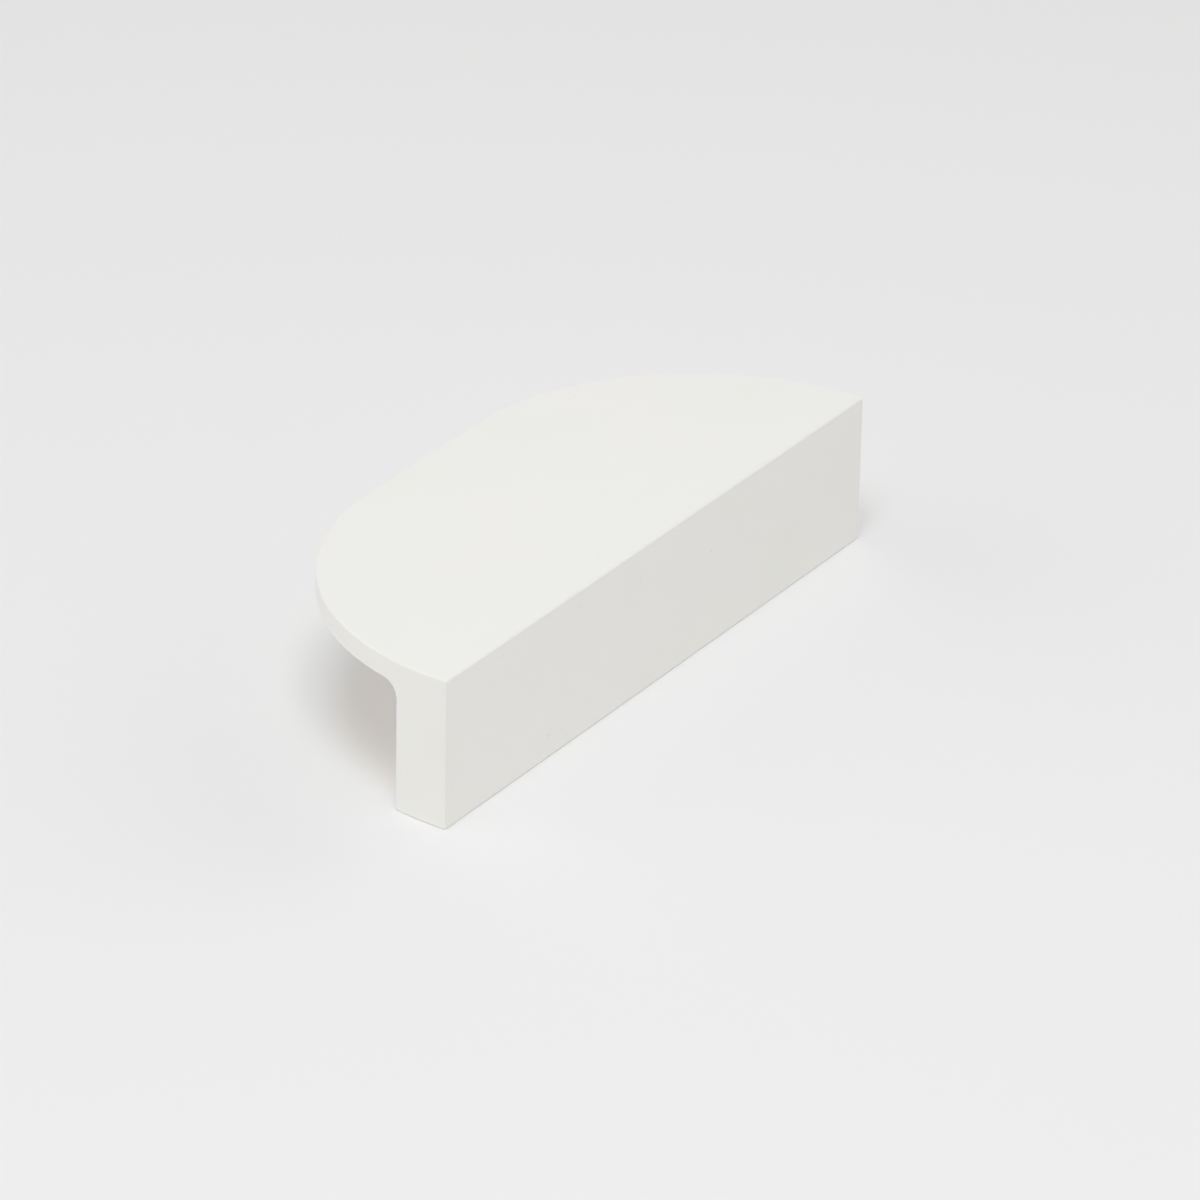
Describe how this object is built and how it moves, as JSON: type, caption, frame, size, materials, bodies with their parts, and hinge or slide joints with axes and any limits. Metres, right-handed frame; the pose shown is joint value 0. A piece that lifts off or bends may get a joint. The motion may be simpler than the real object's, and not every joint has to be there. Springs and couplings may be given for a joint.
{
  "type": "door pull handle",
  "caption": "One-piece L-section pull: a thick leg stands on the door and carries a thin, round-cornered plate, with the finger recess behind it open at both ends.",
  "frame": {"origin": "on the foot's flat, half way between the two fixing holes", "axes": "+Z away from the door, +X along the handle, and -Y the way the flat outer face looks"},
  "size_m": [0.15, 0.0577, 0.0325],
  "materials": {
    "powder_coat": "satin"
  },
  "bodies": {
    "root": {"pull_handle": "powder_coat"}
  },
  "joints": []
}
